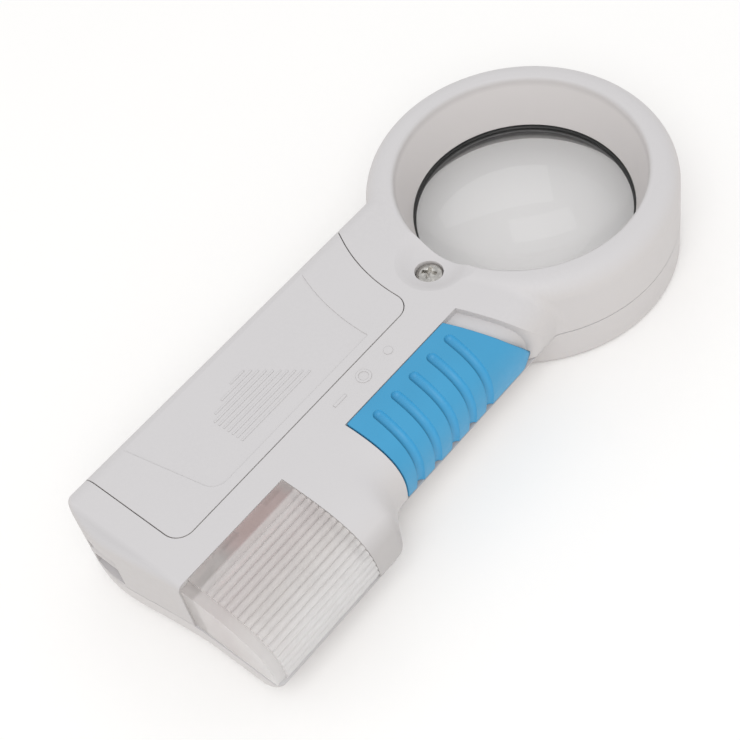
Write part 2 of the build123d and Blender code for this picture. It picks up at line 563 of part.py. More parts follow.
# clear ribbed window wrapping over the corner at the tail
def ribbed_face(y):
    x0 = 9.5
    c = Edge.make_bezier(V(x0, y, TOP), V(21.7, y, TOP), V(29.7, y, 20.2), V(X_BLOCK, y, 9.4))
    low = V(X_BLOCK, y, 9.0)
    n = 17
    t0 = 0.09
    depth = 0.5
    out = [Edge.make_line(V(WIN_X, y, TOP), V(x0, y, TOP))]
    base = []
    for i in range(n + 1):
        t = t0 + (0.985 - t0) * i / n
        p = c.position_at(t)
        tg = c.tangent_at(t)
        nrm = Vector(-tg.Z, 0, tg.X)
        if nrm.Z < 0 and p.X < 24:
            nrm = nrm * -1
        if nrm.X < 0 and p.X >= 24:
            nrm = nrm * -1
        base.append((p, nrm, t))
    pts = []
    # smooth strip
    pf = base[0][0]
    seg = [Edge.make_spline([V(x0, y, TOP), c.position_at(t0 * 0.5), pf])]
    edges = out + seg
    prev = pf
    for i in range(n):
        ta = base[i][2]
        tb = base[i + 1][2]
        pa, na, _ = base[i]
        pb, nb, _ = base[i + 1]
        va = prev
        vb = V(pb.X - nb.X * depth, y, pb.Z - nb.Z * depth)
        m = c.position_at(0.5 * (ta + tb))
        if i == 0:
            m = m
        edges.append(Edge.make_three_point_arc(va, V(m.X, y, m.Z), vb))
        prev = vb
    last = prev
    edges.append(Edge.make_line(last, V(last.X, y, 9.0)))
    ins = WALL
    ci = Edge.make_bezier(V(x0, y, TOP - ins), V(21.7 - 0.35 * ins, y, TOP - ins), V(29.7 - ins, y, 20.2 - 0.75 * ins), V(X_BLOCK - ins, y, 9.4))
    edges.append(Edge.make_line(V(last.X, y, 9.0), V(X_BLOCK - ins, y, 9.0)))
    edges.append(Edge.make_line(V(X_BLOCK - ins, y, 9.0), V(X_BLOCK - ins, y, 9.4)))
    edges.append(ci)
    edges.append(Edge.make_line(V(x0, y, TOP - ins), V(WIN_X, y, TOP - ins)))
    edges.append(Edge.make_line(V(WIN_X, y, TOP - ins), V(WIN_X, y, TOP)))
    return Face(Wire(edges))


win_clip = box(WIN_X, 60, -130, WIN_Y, 9.0, 60)
win = P_(push(ribbed_face(WIN_Y), 105.0 + WIN_Y))
# smooth, slightly smaller end flange and end wall
end_fl = (P_(block(-104.9, -105.6, 0.8)) - block(-104.8, -105.7, 0.8 + WALL)) & win_clip
end_wall = P_(block(-105.5, -107.15, 0.8)) & win_clip
win = win + end_fl + end_wall
# hidden retaining lips under the skin of the upper shell
for ya, yb in ((-96.8, -92.8), (-86.0, -82.0)):
    win = win + box(7.6, WIN_X + 0.1, ya, yb, 19.3, TOP - WALL - 0.1) + box(WIN_X, 9.9, ya, yb, 19.3, TOP - WALL + 0.1)
lip = (P_(block(-79.2, -82.4, WALL + 0.15)) - block(-79.0, -82.6, WALL + 1.2)) & box(11.0, 27.0, -82.4, -79.2, 12.0, 40)
win = win + lip + ((P_(block(-80.9, -82.4, WALL - 0.3)) - block(-80.7, -82.6, WALL + 1.2)) & box(11.0, 27.0, -82.4, -80.9, 12.0, 40))
tail_lamp_window = win


# ---------------- battery cells and contacts ----------------
def cell(x, y_flat, sgn):
    """Cell with its flat end at y_flat; sgn is the direction of its positive end."""
    pl = Plane(origin=(x, y_flat, CELL_Z), z_dir=(0, sgn, 0))
    c = P_(Solid.make_cylinder(CELL_R, CELL_L, pl))
    c = c + Solid.make_cylinder(2.7, CELL_L + 1.0, pl)
    ed = [e for e in c.edges() if e.geom_type == GeomType.CIRCLE and abs(e.radius - CELL_R) < 0.01]
    c = Part() + c.chamfer(0.5, None, ed)
    return c


Y_HEAD = -43.0
Y_TAIL = -93.5
battery_cell_left = cell(CELL_XL, Y_TAIL, 1)
battery_cell_right = cell(CELL_XR, Y_HEAD, -1)
bpc = P_(box(CELL_XL - 5.5, CELL_XL + 5.5, -39.85, -39.45, 4.2, 16.4))
bpc = bpc + box(CELL_XL - 2.2, CELL_XL + 2.2, -43.0 + 0.02, -39.6, 9.6, 10.0) + box(
    CELL_XL - 2.2, CELL_XL + 2.2, -43.0 + 0.02, -39.6, 12.4, 12.8) + box(CELL_XL - 2.2, CELL_XL + 2.2, -42.98, -42.58, 9.6, 12.8)
bpc = bpc + box(CELL_XL - 0.9, CELL_XL + 0.9, -39.6, -36.9, 7.8, 8.3)
battery_positive_contact = bpc
bnc = P_(box(CELL_XR - 5.5, CELL_XR + 5.5, -39.85, -39.45, 4.2, 16.4))
bnc = bnc + box(CELL_XR - 0.9, CELL_XR + 0.9, -39.6, -36.9, 5.8, 6.3)
battery_negative_contact = bnc
blc = P_(box(CELL_XL - 5.5, CELL_XR + 5.5, -97.35, -96.95, 4.2, 16.4))
blc = blc + box(CELL_XR - 2.2, CELL_XR + 2.2, -97.1, -93.52, 9.6, 10.0) + box(
    CELL_XR - 2.2, CELL_XR + 2.2, -97.1, -93.52, 12.4, 12.8) + box(CELL_XR - 2.2, CELL_XR + 2.2, -93.92, -93.52, 9.6, 12.8)
battery_link_contact = blc


def coil(x, y0, y1):
    """Spring between y0 and y1 (y1 < y0) on the cell axis."""
    L = y0 - y1
    wr = 0.32
    h = Edge.make_helix(pitch=(L - 2 * wr) / 3.5, height=L - 2 * wr, radius=3.6, center=(0, 0, 0), normal=(0, 0, 1))
    circ = Face(Wire([Edge.make_circle(wr, Plane(origin=h.position_at(0), z_dir=h.tangent_at(0)))]))
    s = Solid.sweep(circ, h)
    s = s.rotate(Axis.X, 90)
    return s.moved(Location((x, y0 - wr, CELL_Z)))


battery_springs = P_(coil(CELL_XR, -39.85, -43.0)) + coil(CELL_XL, -93.5, -96.95)


# ---------------- leads ----------------
def lead(points, r=0.5, rad=1.6):
    path = FilletPolyline(*points, radius=rad)
    e0 = path.edges()[0]
    circ = Face(Wire([Edge.make_circle(r, Plane(origin=path.position_at(0), z_dir=path.tangent_at(0)))]))
    w = path if isinstance(path, Wire) else Wire(path.edges())
    return P_(Solid.sweep(circ, w))


battery_lead_red = lead([(-12.8, -36.9, 8.05), (-12.8, -35.4, 8.05), (8.2, -36.4, 8.05), (12.3, -36.6, 6.4), (12.6, -43.4, 6.4), (12.6, -43.4, 9.9)], 0.45, 1.0)
battery_lead_black = lead([(1.9, -36.9, 6.05), (1.9, -35.0, 6.05), (8.0, -35.6, 5.4), (13.7, -36.2, 4.9), (14.1, -45.6, 4.9), (14.1, -45.6, 9.9)], 0.45, 1.0)
head_lamp_lead_red = lead([(8.0, -35.8, 13.2), (8.0, -35.8, 15.6), (12.4, -38.4, 15.6), (12.4, -41.9, 15.2), (12.4, -41.9, 11.1)], 0.4, 1.0)
head_lamp_lead_black = lead([(5.6, -36.2, 13.2), (5.6, -36.2, 17.0), (13.9, -37.4, 17.0), (13.6, -41.6, 16.8), (13.6, -41.6, 11.1)], 0.4, 1.0)
tail_lamp_lead_red = lead([(12.4, -64.6, 11.1), (12.4, -64.6, 14.6), (11.4, -73.0, 18.3), (11.3, -101.2, 18.4), (11.3, -101.2, 9.2), (13.8, -99.6, 8.9)], 0.5, 1.4)
tail_lamp_lead_black = lead([(18.35, -60.4, 11.1), (18.35, -60.4, 13.6), (19.6, -76.0, 16.2), (21.0, -85.6, 17.4), (21.0, -101.2, 17.2), (21.0, -101.2, 11.7)], 0.5, 1.4)

# ---------------- screws ----------------
hx, hy = HEAD_SCREW
screw_prof = Face(Wire([
    Edge.make_line(V(0, 0, 4.5), V(0, 0, 20.4)),
    Edge.make_three_point_arc(V(0, 0, 20.4), V(1.3, 0, 20.27), V(SCREW_R, 0, 19.85)),
    Edge.make_line(V(SCREW_R, 0, 19.85), V(SCREW_R, 0, SCREW_SEAT)),
    Edge.make_line(V(SCREW_R, 0, SCREW_SEAT), V(1.3, 0, SCREW_SEAT)),
    Edge.make_line(V(1.3, 0, SCREW_SEAT), V(1.3, 0, 4.9)),
    Edge.make_line(V(1.3, 0, 4.9), V(0.9, 0, 4.5)),
    Edge.make_line(V(0.9, 0, 4.5), V(0, 0, 4.5)),
]))
head_screw = P_(Solid.revolve(screw_prof, 360.0, Axis.Z).moved(Location((hx, hy, 0))))
cross = P_(box(hx - 1.5, hx + 1.5, hy - 0.4, hy + 0.4, 19.3, 22)) + box(hx - 0.4, hx + 0.4, hy - 1.5, hy + 1.5, 19.3, 22)
cross = cross.rotate(Axis(origin=(hx, hy, 0), direction=(0, 0, 1)), 25)
head_screw = head_screw - cross
hs = Part()
for x, y in LOW_SCREWS:
    s1 = P_(cyl(x, y, 1.4, 3.0, 2.4)) + cyl(x, y, 2.9, 13.6, 1.25)
    s1 = s1 - box(x - 1.4, x + 1.4, y - 0.3, y + 0.3, 1.0, 2.2) - box(x - 0.3, x + 0.3, y - 1.4, y + 1.4, 1.0, 2.2)
    hs = hs + s1
housing_screws = hs

# ---------------- export ----------------
nodes = dict(
    top_shell=top_shell, bottom_shell=bottom_shell, lens=lens, lens_gasket=lens_gasket,
    lens_retaining_ring=lens_retaining_ring, battery_door=battery_door, slide_button=slide_button,
    switch_lever=switch_lever, switch_body=switch_body, switch_terminals=switch_terminals,
    circuit_board=circuit_board, current_resistors=current_resistors, board_screws=board_screws,
    head_led_board=head_led_board, head_leds=head_leds, head_led_windows=head_led_windows,
    tail_lamp_board=tail_lamp_board, tail_lamp_leds=tail_lamp_leds, tail_lamp_reflector=tail_lamp_reflector,
    tail_lamp_window=tail_lamp_window, battery_cell_left=battery_cell_left, battery_cell_right=battery_cell_right,
    battery_positive_contact=battery_positive_contact, battery_negative_contact=battery_negative_contact,
    battery_link_contact=battery_link_contact, battery_springs=battery_springs,
    battery_lead_red=battery_lead_red, battery_lead_black=battery_lead_black,
    head_lamp_lead_red=head_lamp_lead_red, head_lamp_lead_black=head_lamp_lead_black,
    tail_lamp_lead_red=tail_lamp_lead_red, tail_lamp_lead_black=tail_lamp_lead_black,
    head_screw=head_screw, housing_screws=housing_screws,
)
bb = Compound(children=[s for p in nodes.values() for s in [Solid(x.wrapped) for x in p.solids()]]).bounding_box()
Y_SHIFT = -(bb.min.Y + bb.max.Y) / 2
print("extents", bb.size, "y shift", round(Y_SHIFT, 4))
for name, p in nodes.items():
    sol = p.solids()
    q = Compound(children=[s.moved(Location((0, Y_SHIFT, 0))) for s in sol]) if len(sol) > 1 else sol[0].moved(Location((0, Y_SHIFT, 0)))
    export_step(q, "parts/" + name + ".step")
    print(name, len(sol), "valid" if all(s.is_valid for s in sol) else "INVALID", round(sum(s.volume for s in sol), 2))
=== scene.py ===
import math

import bmesh
import bpy
from mathutils import Matrix, Vector


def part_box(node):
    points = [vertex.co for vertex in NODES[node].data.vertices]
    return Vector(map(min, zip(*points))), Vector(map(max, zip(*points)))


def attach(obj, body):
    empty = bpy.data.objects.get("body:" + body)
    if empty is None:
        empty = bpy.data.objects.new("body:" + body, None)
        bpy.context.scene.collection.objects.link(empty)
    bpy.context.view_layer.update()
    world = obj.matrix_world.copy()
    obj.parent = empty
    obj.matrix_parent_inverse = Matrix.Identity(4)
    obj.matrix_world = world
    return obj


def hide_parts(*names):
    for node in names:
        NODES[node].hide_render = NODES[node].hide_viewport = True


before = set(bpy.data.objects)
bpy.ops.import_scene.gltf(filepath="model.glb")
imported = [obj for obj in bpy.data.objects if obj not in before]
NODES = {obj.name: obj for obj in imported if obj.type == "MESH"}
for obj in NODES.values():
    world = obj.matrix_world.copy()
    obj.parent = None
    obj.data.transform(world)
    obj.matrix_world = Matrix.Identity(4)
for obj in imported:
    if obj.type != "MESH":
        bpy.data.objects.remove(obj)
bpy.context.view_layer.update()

scene = bpy.context.scene
scene.view_settings.view_transform = "Standard"
scene.view_settings.look = "None"
scene.view_settings.exposure = 0.0
scene.view_settings.gamma = 1.0

MM = 0.001


def centre(node):
    lo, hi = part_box(node)
    return (lo + hi) / 2


# the lens axis is the middle of the lens node; everything below that says
# "lens frame" is in mm from that axis, with the underside at z = 0
LENS_C = centre("lens")
AX = Vector((LENS_C.x, LENS_C.y, 0.0))


def L(x, y, z):
    """A point of the lens frame (mm) in the row frame (m)."""
    return Vector((AX.x + x * MM, AX.y + y * MM, z * MM))


# ---------------------------------------------------------------- camera
AZ, EL, ROLL = math.radians(51.47), math.radians(53.08), math.radians(-13.82)
back = Vector((math.sin(AZ) * math.cos(EL), -math.cos(AZ) * math.cos(EL), math.sin(EL)))
right = Vector((math.cos(AZ), math.sin(AZ), 0.0))
up = back.cross(right)
R2 = right * math.cos(ROLL) + up * math.sin(ROLL)
U2 = right * -math.sin(ROLL) + up * math.cos(ROLL)
cam_data = bpy.data.cameras.new("camera")
cam = bpy.data.objects.new("camera", cam_data)
scene.collection.objects.link(cam)
cam_data.sensor_width = 36.0
cam_data.lens = 1678.35 / 740 * 36.0
cam_data.clip_start, cam_data.clip_end = 0.02, 20.0
rot = Matrix((R2, U2, back)).transposed()
cam.matrix_world = Matrix.Translation(L(-6.48, -43.2, 0) + back * 0.33335) @ rot.to_4x4()
scene.camera = cam


# ---------------------------------------------------------------- node helpers
class Mat:
    """A Principled material with a few shorthand calls for its node tree."""

    def __init__(self, name):
        self.m = bpy.data.materials.new(name)
        self.m.use_nodes = True
        self.t = self.m.node_tree
        self.t.nodes.clear()
        self.out = self.t.nodes.new("ShaderNodeOutputMaterial")
        self.b = self.t.nodes.new("ShaderNodeBsdfPrincipled")
        self.t.links.new(self.b.outputs[0], self.out.inputs["Surface"])
        self.tc = self.t.nodes.new("ShaderNodeTexCoord")

    def set(self, **kw):
        names = {"color": "Base Color", "rough": "Roughness", "metal": "Metallic", "ior": "IOR",
                 "trans": "Transmission Weight", "spec": "Specular IOR Level", "coat": "Coat Weight",
                 "coat_rough": "Coat Roughness", "sss": "Subsurface Weight", "sss_scale": "Subsurface Scale",
                 "sheen": "Sheen Weight", "emit": "Emission Strength", "emit_color": "Emission Color", "alpha": "Alpha"}
        for k, v in kw.items():
            if k in ("color", "emit_color") and len(v) == 3:
                v = (*v, 1.0)
            self.b.inputs[names[k]].default_value = v
        return self

    def link(self, a, b):
        self.t.links.new(a, b)

    def node(self, kind, **kw):
        n = self.t.nodes.new(kind)
        for k, v in kw.items():
            setattr(n, k, v)
        return n

    def coords(self, scale=(1, 1, 1), rot=(0, 0, 0), loc=(0, 0, 0)):
        n = self.node("ShaderNodeMapping")
        n.inputs["Scale"].default_value = scale
        n.inputs["Rotation"].default_value = rot
        n.inputs["Location"].default_value = loc
        self.link(self.tc.outputs["Object"], n.inputs["Vector"])
        return n.outputs["Vector"]

    def noise(self, scale, detail=2.0, rough=0.5, vec=None, distortion=0.0):
        n = self.node("ShaderNodeTexNoise")
        n.inputs["Scale"].default_value = scale
        n.inputs["Detail"].default_value = detail
        n.inputs["Roughness"].default_value = rough
        n.inputs["Distortion"].default_value = distortion
        self.link(vec if vec is not None else self.tc.outputs["Object"], n.inputs["Vector"])
        return n.outputs["Fac"]

    def voronoi(self, scale, feature="F1", vec=None):
        n = self.node("ShaderNodeTexVoronoi", feature=feature)
        n.inputs["Scale"].default_value = scale
        self.link(vec if vec is not None else self.tc.outputs["Object"], n.inputs["Vector"])
        return n.outputs["Distance"]

    def ramp(self, fac, stops, interp="LINEAR"):
        n = self.node("ShaderNodeValToRGB")
        n.color_ramp.interpolation = interp
        els = n.color_ramp.elements
        while len(els) < len(stops):
            els.new(0.5)
        for e, (p, c) in zip(els, stops):
            e.position = p
            e.color = (*c, 1.0) if len(c) == 3 else c
        self.link(fac, n.inputs["Fac"])
        return n.outputs["Color"]

    def maprange(self, fac, a, b, c, d):
        n = self.node("ShaderNodeMapRange")
        for k, v in zip(("From Min", "From Max", "To Min", "To Max"), (a, b, c, d)):
            n.inputs[k].default_value = v
        self.link(fac, n.inputs["Value"])
        return n.outputs["Result"]

    def math(self, op, a, b=None, c=None):
        n = self.node("ShaderNodeMath", operation=op)
        for i, v in enumerate((a, b, c)):
            if v is None:
                continue
            if isinstance(v, (int, float)):
                n.inputs[i].default_value = v
            else:
                self.link(v, n.inputs[i])
        return n.outputs[0]

    def mix(self, fac, a, b):
        n = self.node("ShaderNodeMix", data_type="RGBA")
        for name, v in (("Factor", fac), ("A", a), ("B", b)):
            sock = [s for s in n.inputs if s.name == name and (s.type == "RGBA" if name != "Factor" else s.type == "VALUE")][0]
            if isinstance(v, (int, float)):
                sock.default_value = v
            elif isinstance(v, (tuple, list)):
                sock.default_value = (*v, 1.0) if len(v) == 3 else v
            else:
                self.link(v, sock)
        return [s for s in n.outputs if s.type == "RGBA"][0]

    def color(self, sock):
        self.link(sock, self.b.inputs["Base Color"])

    def rough(self, sock):
        self.link(sock, self.b.inputs["Roughness"])

    def bump(self, height, strength, distance, normal=None):
        n = self.node("ShaderNodeBump")
        n.inputs["Strength"].default_value = strength
        n.inputs["Distance"].default_value = distance
        self.link(height, n.inputs["Height"])
        if normal is not None:
            self.link(normal, n.inputs["Normal"])
        self.link(n.outputs["Normal"], self.b.inputs["Normal"])
        return n.outputs["Normal"]


def tint(c, k):
    return tuple(min(1.0, x * k) for x in c)


# ---------------------------------------------------------------- materials
def split(k, axis):
    n = k.node("ShaderNodeSeparateXYZ")
    k.link(k.tc.outputs["Object"], n.inputs[0])
    return n.outputs[axis]


def soft_edges(k, height, strength, distance, radius=0.00014):
    """Bump on top of a rounded-edge normal."""
    bev = k.node("ShaderNodeBevel")
    bev.samples = 4
    bev.inputs["Radius"].default_value = radius
    k.bump(height, strength, distance, bev.outputs["Normal"])


def make_abs(name="shell_abs", c=(0.628, 0.613, 0.620), shade_under_lens=False):
    k = Mat(name).set(rough=0.5, ior=1.5, spec=0.42)
    broad = k.noise(38, 3, 0.5)
    fine = k.noise(1400, 2, 0.6)
    col = k.mix(k.maprange(broad, 0.35, 0.65, 0, 1), tint(c, 0.99), tint(c, 1.01))
    col = k.mix(k.maprange(fine, 0.4, 0.6, 0.0, 1.0), col, tint(c, 1.006))
    nz = k.node("ShaderNodeSeparateXYZ")
    k.link(k.tc.outputs["Normal"], nz.inputs[0])
    if shade_under_lens:
        # painted shade: the wall below the lens is coloured grey, darkest next to the lens edge, standing in for the
        # shade there
        x = k.math("SUBTRACT", split(k, "X"), AX.x)
        y = k.math("SUBTRACT", split(k, "Y"), AX.y)
        r = k.math("SQRT", k.math("ADD", k.math("MULTIPLY", x, x), k.math("MULTIPLY", y, y)))
        inside = k.maprange(r, 0.0250, 0.0252, 1, 0)
        grey = k.ramp(k.maprange(split(k, "Z"), 0.0, 0.0064, 0, 1),
                      [(0.0, (0.40, 0.395, 0.395)), (0.35, (0.27, 0.266, 0.266)), (0.75, (0.20, 0.197, 0.197)), (1.0, (0.15, 0.148, 0.148))])
        col = k.mix(inside, col, grey)
    else:
        # painted light and shade: the moulding is lightened inside the rim, darkened on the lamp block's outer side and
        # on the tail end, and lightened in the strap pocket at the tail
        x, y, z = split(k, "X"), split(k, "Y"), split(k, "Z")
        dx, dy = k.math("SUBTRACT", x, AX.x), k.math("SUBTRACT", y, AX.y)
        r = k.math("SQRT", k.math("ADD", k.math("MULTIPLY", dx, dx), k.math("MULTIPLY", dy, dy)))
        # painted light: the walls inside the rim are lightened, except where they face up
        bore_painted_light = k.math("MULTIPLY", k.maprange(r, 0.0254, 0.0262, 1, 0), k.maprange(z, 0.0208, 0.0222, 1, 0))
        bore_painted_light = k.math("MULTIPLY", bore_painted_light, k.maprange(nz.outputs["Z"], 0.15, 0.60, 1, 0))
        col = k.mix(bore_painted_light, col, tint(c, 1.27))
        # painted shade: the outer side of the lamp block is darkened
        side = k.math("MULTIPLY", k.maprange(x, L(26.5, 0, 0).x, L(28.6, 0, 0).x, 0, 1),
                      k.maprange(y, L(0, -67, 0).y, L(0, -62, 0).y, 1, 0))
        col = k.mix(side, col, tint(c, 0.82))
        # painted shade: the tail end face is darkened
        end = k.maprange(y, L(0, -107.2, 0).y, L(0, -106.2, 0).y, 1, 0)
        col = k.mix(end, col, tint(c, 0.92))
        # painted light: the strap pocket at the tail is lightened against the shade inside it
        slit_painted_light = k.math("MULTIPLY", k.maprange(x, L(-5.6, 0, 0).x, L(-6.2, 0, 0).x, 0, 1), k.maprange(x, L(-15.4, 0, 0).x, L(-14.8, 0, 0).x, 0, 1))
        slit_painted_light = k.math("MULTIPLY", slit_painted_light, k.math("MULTIPLY", k.maprange(z, 0.0094, 0.0100, 0, 1), k.maprange(z, 0.0179, 0.0185, 1, 0)))
        slit_painted_light = k.math("MULTIPLY", slit_painted_light, k.math("MULTIPLY", k.maprange(y, L(0, -107.3, 0).y, L(0, -107.0, 0).y, 0, 1), k.maprange(y, L(0, -103.5, 0).y, L(0, -103.0, 0).y, 1, 0)))
        col = k.mix(slit_painted_light, col, tint(c, 1.5))
    # painted shade: upright walls of the moulding are tinted warmer and a little darker than its flat top, by the way
    # each face is turned
    wall_painted_shade = k.node("ShaderNodeMix")
    wall_painted_shade.data_type, wall_painted_shade.blend_type = "RGBA", "MULTIPLY"
    k.link(k.maprange(nz.outputs["Z"], 0.35, 0.92, 1.0, 0.0), wall_painted_shade.inputs[0])
    k.link(col, wall_painted_shade.inputs[6])
    wall_painted_shade.inputs[7].default_value = (0.975, 0.956, 0.932, 1.0)
    k.color(wall_painted_shade.outputs[2])
    k.rough(k.maprange(k.noise(700, 3, 0.6), 0.3, 0.7, 0.46, 0.56))
    soft_edges(k, k.noise(5600, 2, 0.6), 0.16, 0.00002)
    return k.m


def make_blue():
    k = Mat("slider_blue").set(rough=0.42, ior=1.5, spec=0.45)
    c = (0.050, 0.325, 0.575)
    broad = k.noise(90, 3, 0.5)
    base = k.mix(k.maprange(broad, 0.35, 0.65, 0, 1), tint(c, 0.975), tint(c, 1.025))
    # painted light and shade: slider faces turned toward the head, the groove walls among them, are darkened, and faces
    # turned toward the tail are lightened
    tc = k.node("ShaderNodeTexCoord")
    sep = k.node("ShaderNodeSeparateXYZ")
    k.link(tc.outputs["Normal"], sep.inputs[0])
    base = k.mix(k.maprange(sep.outputs["Y"], 0.08, 0.75, 0.0, 0.85), base, tint(c, 0.55))
    base = k.mix(k.maprange(sep.outputs["Y"], -0.75, -0.08, 0.5, 0.0), base, tint(c, 1.35))
    k.color(base)
    k.rough(k.maprange(k.noise(900, 3, 0.6), 0.3, 0.7, 0.38, 0.48))
    soft_edges(k, k.noise(6000, 2, 0.6), 0.14, 0.00002, 0.0002)
    return k.m


def make_clear(name, rough, c=(0.97, 0.975, 0.975), ior=1.49, lo=0.0, pass_c=(0.93, 0.935, 0.935), edge=False):
    """Clear plastic that lets lamps and soft light in."""
    k = Mat(name).set(color=c, ior=ior, trans=1.0, rough=rough)
    k.rough(k.maprange(k.noise(260, 3, 0.6), 0.3, 0.75, lo, rough))
    col = k.mix(k.noise(40, 2, 0.5), tint(c, 0.995), tint(c, 1.0))
    if edge:
        # painted shade: the lens colour darkens a little toward its thin edge
        x, y = k.math("SUBTRACT", split(k, "X"), AX.x), k.math("SUBTRACT", split(k, "Y"), AX.y)
        r = k.math("SQRT", k.math("ADD", k.math("MULTIPLY", x, x), k.math("MULTIPLY", y, y)))
        col = k.mix(k.maprange(r, 0.0140, 0.0205, 0.0, 1.0), col, tint(c, 0.93))
    k.color(col)
    k.bump(k.noise(350, 2, 0.5), 0.03, 0.00002)
    lp = k.node("ShaderNodeLightPath")
    fac = k.math("MAXIMUM", lp.outputs["Is Shadow Ray"], lp.outputs["Is Diffuse Ray"])
    tr = k.node("ShaderNodeBsdfTransparent")
    tr.inputs["Color"].default_value = (*pass_c, 1.0)
    mx = k.node("ShaderNodeMixShader")
    k.link(fac, mx.inputs[0])
    k.link(k.b.outputs[0], mx.inputs[1])
    k.link(tr.outputs[0], mx.inputs[2])
    k.link(mx.outputs[0], k.out.inputs["Surface"])
    return k.m


def make_window():
    """Clear moulded plastic, hazy on its ribs and clearer on its smooth strip."""
    k = Mat("window_acrylic").set(ior=1.47, spec=0.5)
    x = split(k, "X")
    strip = k.maprange(x, L(12.0, 0, 0).x, L(12.5, 0, 0).x, 1, 0)
    haze = k.maprange(k.noise(200, 3, 0.5), 0.3, 0.7, 0.0, 0.06)
    k.link(k.math("ADD", k.math("MULTIPLY", strip, 0.24), k.math("SUBTRACT", 0.38, haze)), k.b.inputs["Transmission Weight"])
    across = k.ramp(k.maprange(x, L(12.5, 0, 0).x, L(29.0, 0, 0).x, 0, 1),
                    [(0.0, (0.68, 0.645, 0.635)), (0.32, (0.635, 0.590, 0.583)), (0.62, (0.695, 0.665, 0.652)), (1.0, (0.76, 0.748, 0.745))])
    y = split(k, "Y")
    stained = k.math("MULTIPLY", k.maprange(y, L(0, -98.5, 0).y, L(0, -95.0, 0).y, 0, 1), k.maprange(y, L(0, -83.0, 0).y, L(0, -80.5, 0).y, 1, 0))
    # the red lead shows dimly as a stain under the smooth strip
    stain = k.mix(stained, (0.60, 0.565, 0.55), (0.60, 0.475, 0.462))
    body = k.mix(strip, across, stain)
    k.color(k.mix(k.maprange(k.noise(60, 2, 0.5), 0.3, 0.7, 0.0, 0.35), body, (0.70, 0.66, 0.65)))
    k.rough(k.math("ADD", k.math("MULTIPLY", strip, -0.02), k.maprange(k.noise(260, 3, 0.6), 0.3, 0.75, 0.30, 0.38)))
    k.bump(k.noise(350, 2, 0.5), 0.04, 0.00002)
    lp = k.node("ShaderNodeLightPath")
    fac = k.math("MAXIMUM", lp.outputs["Is Shadow Ray"], lp.outputs["Is Diffuse Ray"])
    tr = k.node("ShaderNodeBsdfTransparent")
    tr.inputs["Color"].default_value = (0.88, 0.875, 0.87, 1.0)
    mx = k.node("ShaderNodeMixShader")
    k.link(fac, mx.inputs[0])
    k.link(k.b.outputs[0], mx.inputs[1])
    k.link(tr.outputs[0], mx.inputs[2])
    k.link(mx.outputs[0], k.out.inputs["Surface"])
    return k.m


def make_plain(name, c, rough, scale=400, spread=0.08, metal=0.0, bump=0.1, bump_scale=3000, coat=0.0):
    k = Mat(name).set(metal=metal, coat=coat)
    k.color(k.mix(k.maprange(k.noise(scale, 3, 0.55), 0.3, 0.7, 0, 1), tint(c, 1 - spread), tint(c, 1 + spread)))
    k.rough(k.maprange(k.noise(scale * 2.3, 3, 0.6), 0.3, 0.7, max(0.03, rough - 0.08), min(1, rough + 0.08)))
    k.bump(k.noise(bump_scale, 2, 0.6), bump, 0.00003)
    return k.m


def make_ring():
    """Black lens ring, with painted highlights: grey bands across its land and a grey lower wall fading to black."""
    k = Mat("ring_black").set(spec=0.45)
    z = split(k, "Z")
    x, y = k.math("SUBTRACT", split(k, "X"), AX.x), k.math("SUBTRACT", split(k, "Y"), AX.y)
    r = k.math("SQRT", k.math("ADD", k.math("MULTIPLY", x, x), k.math("MULTIPLY", y, y)))
    # painted highlight: grey bands across the black land, and a grey lower wall below
    land = k.ramp(k.maprange(r, 0.0225, 0.0241, 0, 1),
                  [(0.0, (0.03, 0.03, 0.03)), (0.45, (0.09, 0.088, 0.088)), (0.62, (0.012, 0.012, 0.012)), (0.80, (0.20, 0.195, 0.195))])
    wall = k.ramp(k.maprange(z, 0.0104, 0.0114, 0, 1), [(0.0, (0.20, 0.197, 0.197)), (0.30, (0.11, 0.108, 0.108)), (0.50, (0.012, 0.012, 0.012))])
    col = k.mix(k.maprange(z, 0.01138, 0.01150, 0, 1), wall, land)
    k.color(k.mix(k.maprange(k.noise(900, 3, 0.5), 0.3, 0.7, 0.0, 0.25), col, (0.02, 0.02, 0.02)))
    k.rough(k.maprange(k.noise(1500, 3, 0.6), 0.3, 0.7, 0.30, 0.42))
    k.bump(k.noise(3000, 2, 0.6), 0.08, 0.00002)
    return k.m


def make_resistor():
    k = Mat("resistor_bands").set(spec=0.5)
    x = split(k, "X")
    x0 = L(12.6, 0, 0).x
    body = (0.50, 0.60, 0.62)
    stops, last = [(0.0, body)], 0.0
    for p, c in ((0.14, (0.25, 0.10, 0.03)), (0.34, (0.02, 0.02, 0.02)), (0.52, (0.45, 0.12, 0.02)), (0.80, (0.45, 0.33, 0.08))):
        stops += [(p, c), (p + 0.09, body)]
    k.color(k.ramp(k.maprange(x, x0, x0 + 0.0036, 0, 1), stops, "CONSTANT"))
    k.rough(k.maprange(k.noise(900, 3, 0.6), 0.3, 0.7, 0.22, 0.34))
    k.bump(k.noise(2500, 2, 0.6), 0.1, 0.00003)
    return k.m


def make_cell(name, y_plus, sgn):
    """Film with a plain ring of copper colour at the positive end."""
    k = Mat(name).set(spec=0.5, coat=0.3)
    y = split(k, "Y")
    y0 = L(0, y_plus, 0).y
    t = k.maprange(y, y0, y0 - sgn * 0.0495, 0, 1)
    col = k.ramp(t, [(0.0, (0.50, 0.24, 0.10)), (0.245, (0.55, 0.52, 0.45)), (0.262, (0.030, 0.032, 0.036)),
                     (0.955, (0.10, 0.10, 0.11))], "CONSTANT")
    k.color(k.mix(k.maprange(k.noise(300, 3, 0.5), 0.3, 0.7, 0.0, 0.12), col, (0.2, 0.2, 0.2)))
    k.rough(k.maprange(k.noise(500, 3, 0.6), 0.3, 0.7, 0.20, 0.32))
    k.bump(k.noise(700, 2, 0.6), 0.06, 0.00004)
    return k.m


